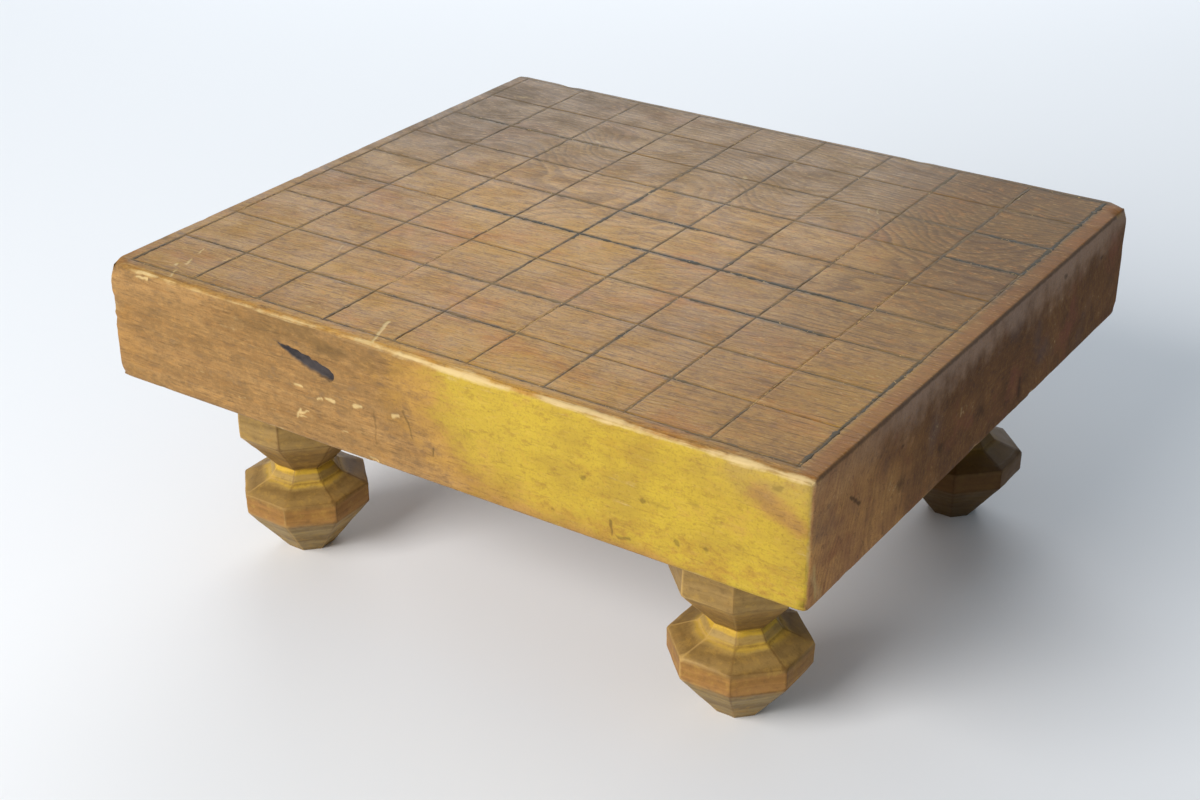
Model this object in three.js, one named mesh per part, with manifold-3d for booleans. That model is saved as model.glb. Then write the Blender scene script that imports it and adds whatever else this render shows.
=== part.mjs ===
// A floor-standing shogi board: one thick solid slab of wood with an inked grid of nine by nine
// squares, on four carved eight-sided legs. Each leg has a square tenon of its own that plugs into
// a blind mortise in the underside, and pulls straight down and out. The middle of the underside
// has the square pit with a low pyramid that such slabs get.
//
// Millimetres, +Z up. The origin is on the floor, under the middle of the slab. +X runs along the
// grain, -Y is the long side that is seen from the front.

import * as THREE from 'three';
import { mergeVertices } from 'three/addons/utils/BufferGeometryUtils.js';
import Module from 'manifold-3d';

const wasm = await Module();
wasm.setup();

// Slab: one plank, worn round along its long edges and only eased at the end grain
const slab_length = 366;
const slab_width = 327;
const slab_thickness = 58;
const long_edge_radius = 3.6;
const end_edge_ease = 1.4;
const lower_edge_ease = 1.8;
const corner_radius = 5;
const front_right_corner_radius = 3;

// Grid: squares a little longer than wide, marked out slightly off the middle of the slab
const squares = 9;
const square_length = 38.6;
const square_width = 34.8;
const grid_shift_x = -1.4;
const grid_shift_y = 1.1;
const line_width = 1;
const line_depth = 0.5;
const line_clearance = 0.05;

// Legs: carved from an eight-sided blank, set in from the ends and the long sides of the slab.
// The two right-hand legs stand a little off that place along the slab, as cut by hand.
const leg_height = 102;
const leg_inset_x = 56.6;
const leg_inset_y = 59.6;
const front_right_leg_drift = -4.2;
const back_right_leg_drift = 3;
const blank_width = 60.6;
const neck_width = 27;
const shoulder_width = 35;
const foot_width = 22.4;
const leg_sides = 8;

// Places down the leg, as shares of its height below the slab
const collar_share = 0.335;
const neck_share = 0.54;
const shoulder_share = 0.594;
const bulb_top_share = 0.648;
const bulb_bottom_share = 0.748;

// Tenon and mortise
const tenon_width = 24;
const tenon_length = 22;
const tenon_lead = 1.6;
const mortise_clearance = 0.1;
const mortise_end_gap = 2;

// Pit in the middle of the underside, with straight walls and a low pyramid on its floor
const pit_width = 60;
const pit_depth = 14;
const pyramid_width = 44;
const pyramid_height = 6.5;

// One overrun serves every cut that breaks through a face
const cut_overrun = 5;
const arc_steps = 6;
const square_sides = 4;

// Heights of the faces that the pieces meet at
const underside_z = leg_height;
const top_z = underside_z + slab_thickness;

// Closed geometry to solid and back
function toSolid(geometry) {
  const bare = geometry.clone();
  bare.deleteAttribute('normal');
  bare.deleteAttribute('uv');
  const merged = mergeVertices(bare);
  const positions = merged.getAttribute('position').array;
  const index = merged.getIndex().array;
  return new wasm.Manifold(new wasm.Mesh({
    numProp: 3,
    vertProperties: new Float32Array(positions),
    triVerts: new Uint32Array(index),
  }));
}

function toGeometry(solid) {
  const mesh = solid.getMesh();
  const geometry = new THREE.BufferGeometry();
  geometry.setAttribute('position', new THREE.BufferAttribute(new Float32Array(mesh.vertProperties), 3));
  geometry.setIndex(new THREE.BufferAttribute(new Uint32Array(mesh.triVerts), 1));
  geometry.computeVertexNormals();
  return geometry;
}

// Rectangle about the origin, each corner with its own radius, in the order
// right front, right back, left back, left front
function roundedRectangle(length, width, radii) {
  const x = length / 2;
  const y = width / 2;
  const [right_front, right_back, left_back, left_front] = radii;
  const shape = new THREE.Shape();
  shape.moveTo(-x + left_front, -y);
  shape.absarc(x - right_front, -y + right_front, right_front, -Math.PI / 2, 0);
  shape.absarc(x - right_back, y - right_back, right_back, 0, Math.PI / 2);
  shape.absarc(-x + left_back, y - left_back, left_back, Math.PI / 2, Math.PI);
  shape.absarc(-x + left_front, -y + left_front, left_front, Math.PI, 1.5 * Math.PI);
  shape.closePath();
  return shape;
}

// Prism along +Z from the origin
function prism(shape, height) {
  return new THREE.ExtrudeGeometry(shape, { depth: height, bevelEnabled: false, curveSegments: arc_steps });
}

// Faceted turning about +Z: pairs of [width across flats, height], from the bottom up and round,
// with flats that face along X and Y
function facetedTurning(sides, profile) {
  const corner_per_flat = 1 / (2 * Math.cos(Math.PI / sides));
  const points = profile.map(([flats, height]) => new THREE.Vector2(flats * corner_per_flat, height));
  const turning = new THREE.LatheGeometry(points, sides, Math.PI / sides);
  turning.rotateX(Math.PI / 2);
  return turning;
}

// Slab: its cross-section drawn along the grain, trimmed to its outline and eased at the ends
function slabBlock() {
  const upper = long_edge_radius;
  const lower = lower_edge_ease;
  const section = roundedRectangle(slab_width, slab_thickness, [lower, upper, upper, lower]);
  const along = prism(section, slab_length);
  along.translate(0, 0, -slab_length / 2);
  along.rotateX(Math.PI / 2);
  along.rotateZ(Math.PI / 2);

  const plan = roundedRectangle(slab_length, slab_width,
    [front_right_corner_radius, corner_radius, corner_radius, corner_radius]);
  const outline = prism(plan, slab_thickness);
  outline.translate(0, 0, -slab_thickness / 2);

  const ends = roundedRectangle(slab_length, slab_thickness,
    [lower_edge_ease, end_edge_ease, end_edge_ease, lower_edge_ease]);
  const across = prism(ends, slab_width);
  across.translate(0, 0, -slab_width / 2);
  across.rotateX(Math.PI / 2);

  const block = toSolid(along).intersect(toSolid(outline)).intersect(toSolid(across));
  return block.translate([0, 0, underside_z + slab_thickness / 2]);
}

// Lattice of the grid's lines: a plate pierced by one opening for each square
function lattice(width, floor_z, ceiling_z) {
  const plate_height = ceiling_z - floor_z;
  const plate = new THREE.BoxGeometry(
    squares * square_length + width, squares * square_width + width, plate_height,
  );
  plate.translate(grid_shift_x, grid_shift_y, floor_z + plate_height / 2);
  let bars = toSolid(plate);
  const opening = toSolid(new THREE.BoxGeometry(
    square_length - width, square_width - width, plate_height + 2 * cut_overrun,
  ));
  const middle = (squares - 1) / 2;
  for (let column = 0; column < squares; column++) {
    for (let row = 0; row < squares; row++) {
      const x = grid_shift_x + (column - middle) * square_length;
      const y = grid_shift_y + (row - middle) * square_width;
      bars = bars.subtract(opening.translate([x, y, floor_z + plate_height / 2]));
    }
  }
  return bars;
}

// Pit cutter: a square prism whose floor rises into the pyramid
function pitCutter() {
  const floor_z = underside_z + pit_depth;
  return toSolid(facetedTurning(square_sides, [
    [0, underside_z - cut_overrun],
    [pit_width, underside_z - cut_overrun],
    [pit_width, floor_z],
    [pyramid_width, floor_z],
    [0, floor_z - pyramid_height],
  ]));
}

// Leg: eight-sided collar, deep neck, ringed shoulder, wide bulb and small foot, with the tenon
function legSolid() {
  const down = (share) => leg_height * (1 - share);
  const body = facetedTurning(leg_sides, [
    [0, 0],
    [foot_width, 0],
    [blank_width, down(bulb_bottom_share)],
    [blank_width, down(bulb_top_share)],
    [shoulder_width, down(shoulder_share)],
    [neck_width, down(neck_share)],
    [blank_width, down(collar_share)],
    [blank_width, leg_height],
    [0, leg_height],
  ]);
  const tenon = facetedTurning(square_sides, [
    [0, down(collar_share)],
    [tenon_width, down(collar_share)],
    [tenon_width, leg_height + tenon_length - tenon_lead],
    [tenon_width - 2 * tenon_lead, leg_height + tenon_length],
    [0, leg_height + tenon_length],
  ]);
  return toSolid(body).add(toSolid(tenon));
}

function mortiseCutter() {
  const width = tenon_width + 2 * mortise_clearance;
  const depth = tenon_length + mortise_end_gap;
  const hole = new THREE.BoxGeometry(width, width, depth + cut_overrun);
  hole.translate(0, 0, underside_z + (depth - cut_overrun) / 2);
  return toSolid(hole);
}

const leg_x = slab_length / 2 - leg_inset_x;
const leg_y = slab_width / 2 - leg_inset_y;
const leg_places = {
  leg_front_left: [-leg_x, -leg_y],
  leg_front_right: [leg_x + front_right_leg_drift, -leg_y],
  leg_back_left: [-leg_x, leg_y],
  leg_back_right: [leg_x + back_right_leg_drift, leg_y],
};

const board = new THREE.Group();

// Slab, with its scribed grooves, mortises and pit
let slab_solid = slabBlock();
const groove_width = line_width + 2 * line_clearance;
slab_solid = slab_solid.subtract(lattice(groove_width, top_z - line_depth, top_z + cut_overrun));
slab_solid = slab_solid.subtract(pitCutter());
for (const [x, y] of Object.values(leg_places)) {
  slab_solid = slab_solid.subtract(mortiseCutter().translate([x, y, 0]));
}
const slab = new THREE.Mesh(toGeometry(slab_solid), new THREE.MeshStandardMaterial({
  color: 0x7a5530, roughness: 0.55, metalness: 0,
}));
slab.name = 'slab';
board.add(slab);

// Ink that fills the grooves, flush with the playing surface
const ink = new THREE.Mesh(
  toGeometry(lattice(line_width, top_z - line_depth, top_z)),
  new THREE.MeshStandardMaterial({ color: 0x1d1a17, roughness: 0.5, metalness: 0 }),
);
ink.name = 'grid_lines';
board.add(ink);

// Legs, each a piece of its own
for (const [name, [x, y]] of Object.entries(leg_places)) {
  const leg = new THREE.Mesh(toGeometry(legSolid()), new THREE.MeshStandardMaterial({
    color: 0x9a7434, roughness: 0.45, metalness: 0,
  }));
  leg.name = name;
  leg.position.set(x, y, 0);
  board.add(leg);
}

export default board;
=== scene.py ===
# A shogi board that stands on the floor on four carved legs: an old slab of golden brown wood,
# worn pale along its front edge, which also carries a painted highlight, with its grid inked into scribed
# lines.
# The frame gives every size and place in metres. +X runs along the grain, -Y is the front.

import math

import bmesh
import bpy
import numpy as np
from mathutils import Matrix, Vector, noise


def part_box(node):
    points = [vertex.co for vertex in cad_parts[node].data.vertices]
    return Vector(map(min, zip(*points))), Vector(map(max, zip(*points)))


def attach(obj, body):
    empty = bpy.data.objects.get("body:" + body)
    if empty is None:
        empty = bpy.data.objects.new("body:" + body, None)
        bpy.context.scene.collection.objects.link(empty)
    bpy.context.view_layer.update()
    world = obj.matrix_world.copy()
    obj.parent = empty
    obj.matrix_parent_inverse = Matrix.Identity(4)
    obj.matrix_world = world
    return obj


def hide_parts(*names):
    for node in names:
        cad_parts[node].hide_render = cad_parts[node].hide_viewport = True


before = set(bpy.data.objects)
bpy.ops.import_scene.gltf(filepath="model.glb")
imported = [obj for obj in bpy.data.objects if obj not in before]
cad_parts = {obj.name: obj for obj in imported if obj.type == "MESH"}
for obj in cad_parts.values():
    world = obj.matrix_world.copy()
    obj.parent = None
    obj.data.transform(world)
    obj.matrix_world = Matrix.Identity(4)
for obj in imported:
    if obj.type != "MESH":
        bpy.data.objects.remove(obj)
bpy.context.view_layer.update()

# Camera: about a metre away, to the right of the front and above the board.
# A short telephoto lens keeps the slab's edges nearly parallel, as in the photograph.
camera_place = Vector((0.4600, -0.7185, 0.5162))
camera_heading = math.radians(33.76)
camera_fall = math.radians(27.62)
camera_roll = math.radians(-0.09)
camera_lens = 58.3
camera_sight = 50


def add_object(name, data):
    """A new object at the origin, in the scene."""
    made = bpy.data.objects.new(name, data)
    bpy.context.scene.collection.objects.link(made)
    return made


camera_data = bpy.data.cameras.new("camera")
camera_data.lens = camera_lens
camera_data.clip_end = camera_sight
camera = add_object("camera", camera_data)
camera_turn = (
    Matrix.Rotation(camera_heading, 4, "Z")
    @ Matrix.Rotation(math.pi / 2 - camera_fall, 4, "X")
    @ Matrix.Rotation(camera_roll, 4, "Z")
)
camera.matrix_world = Matrix.Translation(camera_place) @ camera_turn
bpy.context.scene.camera = camera
bpy.context.scene.view_settings.view_transform = "Standard"

# Floor and light: a plain pale floor, a large soft light low in front on the left, and a paler one
# behind the board that lays a grey sheen on the far part of the top. The right end is in shade.
floor_half = 7
floor_white = (0.84, 0.84, 0.855, 1)
floor_roughness = 0.85
room_blue = (0.74, 0.88, 1, 1)
room_strength = 0.34
board_middle = (0, 0, 0.1)

floor_data = bpy.data.meshes.new("floor")
floor_corners = [(x * floor_half, y * floor_half, 0) for x, y in ((-1, -1), (1, -1), (1, 1), (-1, 1))]
floor_data.from_pydata(floor_corners, [], [(0, 1, 2, 3)])
floor = add_object("floor", floor_data)
floor_finish = bpy.data.materials.new("pale_floor")
floor_finish.use_nodes = True
floor_shader = floor_finish.node_tree.nodes["Principled BSDF"]
floor_shader.inputs["Base Color"].default_value = floor_white
floor_shader.inputs["Roughness"].default_value = floor_roughness
floor_data.materials.append(floor_finish)


def soft_light(name, place, aim, size, power, tint):
    """A flat sheet of light that faces a point."""
    data = bpy.data.lights.new(name, "AREA")
    data.shape = "RECTANGLE"
    data.size, data.size_y = size
    data.energy = power
    data.color = tint
    light = add_object(name, data)
    light.location = place
    light.rotation_euler = (Vector(aim) - Vector(place)).to_track_quat("-Z", "Y").to_euler()


soft_light("key_light", (-0.60, -2.00, 1.30), board_middle, (1.6, 1.2), 68, (1, 0.985, 0.96))
soft_light("back_light", (-1.10, 2.10, 1.10), board_middle, (2.4, 1.4), 40, (0.93, 0.965, 1))

world = bpy.data.worlds.new("pale_room")
world.use_nodes = True
world.node_tree.nodes["Background"].inputs["Color"].default_value = room_blue
world.node_tree.nodes["Background"].inputs["Strength"].default_value = room_strength
bpy.context.scene.world = world

# Slab: one thick plank with the grain along its length, planed by hand, then varnished and worn.
# The long top edges are rubbed round and pale, and the front one also has a painted highlight.
# The ends are dark end grain with a sharp top edge, and the underside holds four blind mortises
# and a square pit with a low pyramid.
mm = 0.001
slab_low, slab_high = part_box("slab")
slab_size = slab_high - slab_low
half_length = slab_size.x / 2
half_width = slab_size.y / 2
left_mm, right_mm = slab_low.x / mm, slab_high.x / mm
front_mm, top_mm = slab_low.y / mm, slab_high.z / mm

ink_low, ink_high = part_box("grid_lines")
squares = 9
line_width = 1.0 * mm
square_length = (ink_high.x - ink_low.x - line_width) / squares
square_width = (ink_high.y - ink_low.y - line_width) / squares
line_xs = [ink_low.x + line_width / 2 + n * square_length for n in range(squares + 1)]
line_ys = [ink_low.y + line_width / 2 + n * square_width for n in range(squares + 1)]

long_edge_radius = 3.6 * mm
end_edge_radius = 1.4 * mm
lower_edge_radius = 1.8 * mm
widest_corner = 5.0 * mm
corner_radii = {(-1, -1): 2.0 * mm, (-1, 1): widest_corner, (1, -1): 3.0 * mm, (1, 1): 3.0 * mm}
groove_half_width = 0.45 * mm
groove_floor_half_width = 0.2 * mm
groove_depth = 0.18 * mm
groove_shoulder = 1.6 * mm
mesh_step = 3.6 * mm
wall_step = 2.2 * mm
gouge_mesh_step = 1.0 * mm
edge_arc_steps = 6

mortise_width = 24.2 * mm
mortise_depth = 24 * mm
pit_width = 60 * mm
pit_depth = 14 * mm
pyramid_width = 44 * mm
pyramid_height = 6.5 * mm

gouge_start = Vector((-77.5, -163.5, 145.6)) * mm
gouge_end = Vector((-52.0, -163.5, 137.6)) * mm
gouge_rows = [134 * mm, 149 * mm]


def marks_on(axis, level, rows):
    """Single marks, in millimetres, on the face of the slab at one level of an axis.

    Each row gives the two places the mark runs between, its half width at both, how soft its
    border is, and its strength.
    """
    marks = []
    for row in rows:
        start, end = list(row[:2]), list(row[2:4])
        start.insert(axis, level)
        end.insert(axis, level)
        marks.append((start, end, *row[4:]))
    return marks


# Chips show pale bare wood
chips = marks_on(1, front_mm, [
    (-72, 128.2, -68, 128.2, 0.36, 0.65, 0.5, 0.7),
    (-59.5, 124.7, -56.5, 125.1, 0.29, 0.58, 0.5, 0.66),
    (-54, 126.4, -50, 125.8, 0.5, 0.79, 0.6, 0.7),
    (-38, 127.2, -34, 128.1, 1.1, 0.65, 0.7, 0.66),
    (-17, 128.5, -13.5, 129.3, 0.72, 0.58, 0.7, 0.58),
    (-72, 111.8, -69.2, 116.6, 0.29, 0.5, 0.4, 0.7),
    (-69.8, 114.6, -64.2, 117.2, 0.5, 0.22, 0.4, 0.7),
    (-70.5, 113.2, -66.5, 113.6, 0.36, 0.29, 0.4, 0.62),
    (-46, 112.6, -42.6, 113.2, 0.29, 0.29, 0.5, 0.43),
    (-107, 112, -103, 112.2, 0.22, 0.29, 0.5, 0.39),
    (-132, 118, -127, 118.4, 0.14, 0.14, 0.4, 0.31),
    (-164.5, 156.9, -158, 157.3, 0.5, 0.72, 0.6, 0.7),
    (-31, 104.2, -27, 103.0, 0.58, 0.94, 0.6, 0.7),
    (-91, 102.4, -81, 102.6, 0.36, 0.36, 0.5, 0.55),
]) + marks_on(0, right_mm, [
    (-161, 118, -153, 105, 0.6, 1.2, 2.4, 0.3),
]) + marks_on(2, top_mm, [
    (-156, -128, -154.4, -133, 0.36, 0.5, 0.5, 0.66),
    (-153, -139.4, -150.6, -145, 0.36, 0.58, 0.5, 0.62),
    (-154.8, -147.6, -154, -148.6, 0.72, 0.79, 0.6, 0.7),
    (-149.6, -152.5, -146.8, -159, 0.36, 0.43, 0.5, 0.66),
    (-138.7, -130, -138.7, -134, 0.29, 0.22, 0.5, 0.55),
    (-34.6, -142.3, -26.8, -163.2, 0.94, 0.5, 0.6, 0.7),
    (-105, -89, -102.5, -95, 0.36, 0.29, 0.6, 0.39),
    (133.8, 145, 135, 138.8, 0.36, 0.36, 0.5, 0.55),
    (78.8, 87.5, 81.3, 82.5, 0.29, 0.29, 0.5, 0.55),
    (83, 88.8, 85.6, 83.8, 0.29, 0.29, 0.5, 0.47),
    (7, 91, 8.5, 89.4, 1, 0.72, 1, 0.35),
    (-84, 92.8, -81.5, 92.2, 0.86, 0.72, 1, 0.31),
])

# Spots and smudges are dark
spots = marks_on(1, front_mm, [
    (-27, 129, -26.6, 112, 0.3, 0.5, 0.5, 0.5),
    (-10.6, 132, -6, 121, 0.5, 0.3, 0.5, 0.7),
    (4.4, 118.9, 4.2, 115.6, 0.6, 0.3, 0.4, 0.8),
    (94, 114, 94.6, 107, 0.7, 0.4, 0.5, 0.75),
    (97.5, 107, 102.5, 108.6, 0.5, 0.7, 0.5, 0.6),
    (80.4, 129.4, 80.9, 129.7, 0.9, 0.9, 0.8, 0.65),
    (109, 128, 109.8, 128.2, 1.2, 1.0, 0.9, 0.65),
    (110, 128, 121, 128.6, 0.4, 0.5, 1.0, 0.3),
    (131.5, 133.9, 133.5, 133.9, 1.0, 1.2, 1.6, 0.4),
    (138, 115.8, 138.3, 115.4, 0.8, 0.8, 0.7, 0.6),
    (124.6, 114.8, 125.4, 114.1, 0.9, 1.2, 0.8, 0.6),
    (91, 142.8, 92.8, 142.4, 0.8, 0.8, 1.4, 0.35),
    (66, 110, 66.3, 110, 0.6, 0.6, 0.7, 0.5),
    (22, 132, 24, 132, 1.0, 1.0, 1.5, 0.4),
    (166.5, 152.4, 169.5, 152.9, 0.7, 0.9, 1.0, 0.5),
    (156, 150, 171, 139, 0.6, 1.0, 6.0, 0.2),
    (-56, 149.6, -42, 150.6, 1.0, 1.2, 2.4, 0.5),
    (-20, 148.4, -13, 151, 0.8, 1.0, 2.2, 0.4),
]) + marks_on(0, right_mm, [
    (-131, 137.8, -123, 131, 0.6, 1.0, 0.8, 0.85),
    (-86.5, 139.5, -85.5, 139.5, 0.9, 0.9, 0.9, 0.7),
    (-86.5, 121.4, -84.3, 121.4, 2.0, 2.2, 2.2, 0.7),
    (-48, 121.5, -46, 119.9, 2.4, 2.4, 2.4, 0.65),
    (-6, 120.6, -4, 119.4, 2.0, 2.0, 2.2, 0.6),
    (37, 118, 37.4, 108, 1.4, 1.0, 1.8, 0.75),
    (82, 151.4, 84, 150.6, 0.9, 1.1, 1.0, 0.7),
    (130, 143, 132, 143, 0.8, 0.8, 1.0, 0.7),
]) + marks_on(2, top_mm, [
    (-182, -130, -176, -130.5, 1.4, 0.8, 1.4, 0.7),
])

# The gouge in the front is one long mark in three parts
gouge_parts = marks_on(1, front_mm, [
    (-79.5, 146.0, -73.5, 144.2, 0.4, 1.8, 0.7, 1.0),
    (-73.5, 144.2, -62, 140.8, 1.8, 2.9, 0.8, 1.0),
    (-62, 140.8, -51.5, 138.0, 2.9, 2.7, 0.9, 1.0),
])
sharpest_soft = 1.3
mark_fineness = 0.55 * mm
mark_margin = 0.8 * mm
longest_split = 12 * mm


def stations(fixed, spacing):
    """The fixed places in order, with even steps of about the spacing between them."""
    fixed = sorted(fixed)
    filled = [fixed[0]]
    for start, end in zip(fixed, fixed[1:]):
        steps = max(1, round((end - start) / spacing))
        filled += [start + (end - start) * step / steps for step in range(1, steps + 1)]
    return filled


def sheet_stations(half_size, edge_radius, lines):
    """Places across the upper skin: close together over its rounded edges and its grooves."""
    turns = [math.pi / 2 * step / edge_arc_steps for step in range(edge_arc_steps + 1)]
    insets = [edge_radius * (1 - math.sin(turn)) for turn in turns] + [widest_corner]
    edges = [side * (half_size - inset) for side in (-1, 1) for inset in insets]
    across = (groove_shoulder, groove_half_width, groove_floor_half_width)
    grooves = [line + side * offset for line in lines for side in (-1, 1) for offset in across]
    return stations(edges + grooves, mesh_step)


def edge_drop(inset, radius):
    """How far a rounded edge has dropped at a distance in from it."""
    left_over = np.clip(1 - inset / radius, 0, 1)
    return radius * (1 - np.sqrt(1 - left_over**2))


columns = sheet_stations(half_length, end_edge_radius, line_xs)
gouge_columns = stations([gouge_start.x - 3 * mm, gouge_end.x + 4 * mm], gouge_mesh_step)
columns = [x for x in columns if not gouge_columns[0] < x < gouge_columns[-1]]
columns = sorted(set(columns + gouge_columns))
rows = sheet_stations(half_width, long_edge_radius, line_ys)

# The upper skin is one sheet of columns and rows. Its corners are drawn in to quarter circles and
# its border bends down over the edges.
plan_x, plan_y = np.meshgrid(columns, rows, indexing="ij")
inset_x = half_length - np.abs(plan_x)
inset_y = half_width - np.abs(plan_y)
top_drop = edge_drop(inset_x, end_edge_radius) + edge_drop(inset_y, long_edge_radius)
outward_x = np.where(inset_x <= inset_y, np.sign(plan_x), 0)
outward_y = np.where(inset_x <= inset_y, 0, np.sign(plan_y))
skin_x, skin_y = plan_x.copy(), plan_y.copy()
for (side_x, side_y), radius in corner_radii.items():
    u = (side_x * plan_x - half_length + radius) / radius
    v = (side_y * plan_y - half_width + radius) / radius
    inside = (u > 0) & (v > 0)
    round_u = u * np.sqrt(np.clip(1 - v**2 / 2, 0, 1))
    round_v = v * np.sqrt(np.clip(1 - u**2 / 2, 0, 1))
    reach = np.hypot(round_u, round_v)
    towards_long = np.arctan2(round_v, round_u) / (math.pi / 2)
    edge_radius = end_edge_radius + (long_edge_radius - end_edge_radius) * towards_long
    skin_x[inside] = (side_x * (half_length - radius + radius * round_u))[inside]
    skin_y[inside] = (side_y * (half_width - radius + radius * round_v))[inside]
    top_drop[inside] = edge_drop(radius * (1 - reach), edge_radius)[inside]
    outward_x[inside] = (side_x * round_u / np.maximum(reach, 1e-9))[inside]
    outward_y[inside] = (side_y * round_v / np.maximum(reach, 1e-9))[inside]
for lines, across, along, ends in ((line_xs, plan_x, plan_y, line_ys), (line_ys, plan_y, plan_x, line_xs)):
    within = (along > ends[0] - line_width) & (along < ends[-1] + line_width)
    for line in lines:
        wall = (groove_half_width - np.abs(across - line)) / (groove_half_width - groove_floor_half_width)
        top_drop = np.maximum(top_drop, np.where(within, groove_depth * np.clip(wall, 0, 1), 0))
points = np.stack([skin_x, skin_y, slab_high.z - top_drop], -1).reshape(-1, 3)

# Indices of the sheet's border, counterclockwise from the front left corner
numbers = np.arange(plan_x.size).reshape(plan_x.shape)
border = np.concatenate([numbers[:, 0], numbers[-1, 1:], numbers[-2::-1, -1], numbers[0, -2:0:-1]])
border_out = np.stack([outward_x.ravel()[border], outward_y.ravel()[border]], -1)
sheet = [numbers[:-1, :-1], numbers[1:, :-1], numbers[1:, 1:], numbers[:-1, 1:]]
faces = np.stack(sheet, -1).reshape(-1, 4).tolist()

# The walls go down from the border in rings, and the last rings turn in under the lower edge
wall_top = slab_high.z - long_edge_radius
wall_levels = stations([slab_low.z + lower_edge_radius, *gouge_rows, slab_high.z], wall_step)
wall_levels = [z for z in wall_levels if z < wall_top - 1 * mm][::-1]
rings = []
border_points = points[border]
for level in wall_levels:
    ring = border_points.copy()
    share = (wall_top - level) / (wall_top - wall_levels[-1])
    ring[:, 2] = border_points[:, 2] + (wall_levels[-1] - border_points[:, 2]) * share
    rings.append(ring)
for step in range(1, edge_arc_steps // 2 + 1):
    turn = math.pi / 2 * step / (edge_arc_steps // 2)
    ring = border_points.copy()
    ring[:, :2] -= border_out * lower_edge_radius * (1 - math.cos(turn))
    ring[:, 2] = slab_low.z + lower_edge_radius * (1 - math.sin(turn))
    rings.append(ring)
upper = border
for ring in rings:
    lower = np.arange(len(points), len(points) + len(ring))
    faces += np.stack([upper, lower, np.roll(lower, -1), np.roll(upper, -1)], -1).tolist()
    points = np.concatenate([points, ring])
    upper = lower

slab_data = bpy.data.meshes.new("playing_board")
slab_data.from_pydata(points.tolist(), [], faces)
slab_mesh = bmesh.new()
slab_mesh.from_mesh(slab_data)
for face in slab_mesh.faces:
    face.smooth = True


def square_ring(middle, width, level):
    """Four new points of a square, counterclockwise seen from above."""
    half = width / 2
    sides = ((-1, -1), (1, -1), (1, 1), (-1, 1))
    return [slab_mesh.verts.new((middle[0] + x * half, middle[1] + y * half, level)) for x, y in sides]


def join_rings(first, second):
    """A band of faces between two rings of four points."""
    for here in range(4):
        there = (here + 1) % 4
        slab_mesh.faces.new((first[here], first[there], second[there], second[here]))


def ring_edges(ring):
    """The edges between the points of a closed ring."""
    return [slab_mesh.edges.get(pair) for pair in zip(ring, ring[1:] + ring[:1])]


def cut_hole(middle, width, depth):
    """The walls of a square hole in the underside. Gives the points round its end."""
    mouth = square_ring(middle, width, slab_low.z)
    end = square_ring(middle, width, slab_low.z + depth)
    join_rings(mouth, end)
    open_edges.extend(ring_edges(mouth))
    return end


slab_mesh.verts.ensure_lookup_table()
open_edges = ring_edges([slab_mesh.verts[int(n)] for n in upper])
for leg_node in ("leg_front_left", "leg_front_right", "leg_back_left", "leg_back_right"):
    leg_low, leg_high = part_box(leg_node)
    slab_mesh.faces.new(cut_hole((leg_low + leg_high) / 2, mortise_width, mortise_depth))
pit_middle = (0, 0)
pit_floor = cut_hole(pit_middle, pit_width, pit_depth)
pyramid_foot = square_ring(pit_middle, pyramid_width, slab_low.z + pit_depth)
join_rings(pit_floor, pyramid_foot)
tip = slab_mesh.verts.new((0, 0, slab_low.z + pit_depth - pyramid_height))
for here in range(4):
    slab_mesh.faces.new((pyramid_foot[here], pyramid_foot[(here + 1) % 4], tip))
bmesh.ops.triangle_fill(slab_mesh, use_beauty=True, edges=open_edges)
bmesh.ops.recalc_face_normals(slab_mesh, faces=slab_mesh.faces)


def from_line(points, start, end):
    """How far each point is off the line between two places, as a vector, and its share of the way."""
    start = np.array(start)
    way = np.array(end) - start
    share = np.clip((points - start) @ way / max(way @ way, 1e-12), 0, 1)
    return points - start - share[:, None] * way, share


def past_border(points, mark):
    """Distance of each point past the border of a mark, below 0 inside it."""
    start, end, first_half, last_half, softness, strength = mark
    off, share = from_line(points, np.array(start) * mm, np.array(end) * mm)
    return np.linalg.norm(off, axis=1) - (first_half + (last_half - first_half) * share) * mm


# The mesh is split finer and finer round the marks with a sharp border
sharp_marks = [mark for mark in chips + spots + gouge_parts if mark[4] < sharpest_soft]
for fineness in (4, 2, 1):
    longest = mark_fineness * fineness
    long_edges = [edge for edge in slab_mesh.edges if edge.calc_length() > longest * 1.35]
    middles = np.array([(edge.verts[0].co + edge.verts[1].co) / 2 for edge in long_edges])
    close = np.min([past_border(middles, mark) for mark in sharp_marks], axis=0) < longest + mark_margin
    chosen = [edge for edge, near in zip(long_edges, close) if near and edge.calc_length() < longest_split]
    bmesh.ops.subdivide_edges(slab_mesh, edges=chosen, cuts=1, use_grid_fill=True)
    many_sided = [face for face in slab_mesh.faces if len(face.verts) > 4]
    bmesh.ops.triangulate(slab_mesh, faces=many_sided)
slab_mesh.to_mesh(slab_data)
slab_mesh.free()

# Wear: every mark goes into the wood, so the slab never grows past its frame
place = np.array([v.co for v in slab_data.vertices], float)
facing = np.array([v.normal for v in slab_data.vertices], float)


def unevenness(scale, stretch, seed):
    """Smooth noise from 0 to 1 at each point, with features of about the scale."""
    shift = Vector((seed * 7.31, seed * 3.17, seed * 5.03))
    squeezed = place / (np.array(stretch) * scale)
    return np.array([0.5 + 0.5 * noise.noise(Vector(p) + shift) for p in squeezed])


def ramp(values, start=0, end=1):
    """0 before start, 1 past end and smooth between them."""
    share = np.clip((values - start) / (end - start), 0, 1)
    return share * share * (3 - 2 * share)


def close_to(distance, reach):
    """1 where the distance is 0, falling evenly to 0 at the reach."""
    return np.clip(1 - distance / reach, 0, 1)


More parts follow.
